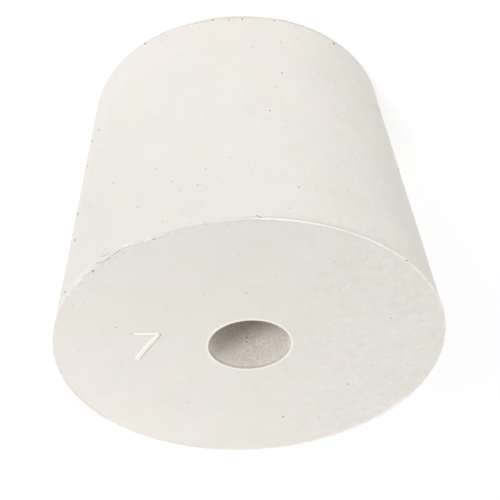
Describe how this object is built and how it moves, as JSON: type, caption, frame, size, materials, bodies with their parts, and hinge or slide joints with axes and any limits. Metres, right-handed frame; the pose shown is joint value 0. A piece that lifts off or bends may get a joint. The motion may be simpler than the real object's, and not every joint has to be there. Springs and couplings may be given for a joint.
{
  "type": "rubber stopper",
  "caption": "Tapered white rubber stopper with a straight hole along its axis, which closes the neck of a flask or bottle and grips a tube passed through it.",
  "frame": {"origin": "centre of the narrow end's face, on which the stopper stands", "axes": "+Z along the hole from the narrow end to the wide end; +Y and +X in the end faces, with the size numeral on the wide end lying on the -X side and reading upright with +Y up"},
  "size_m": [0.0376, 0.0376, 0.03],
  "materials": {
    "white_rubber": "matt moulded off-white rubber with a faint mottle and sparse dark specks"
  },
  "bodies": {
    "root": {"stopper": "white_rubber"}
  },
  "joints": []
}
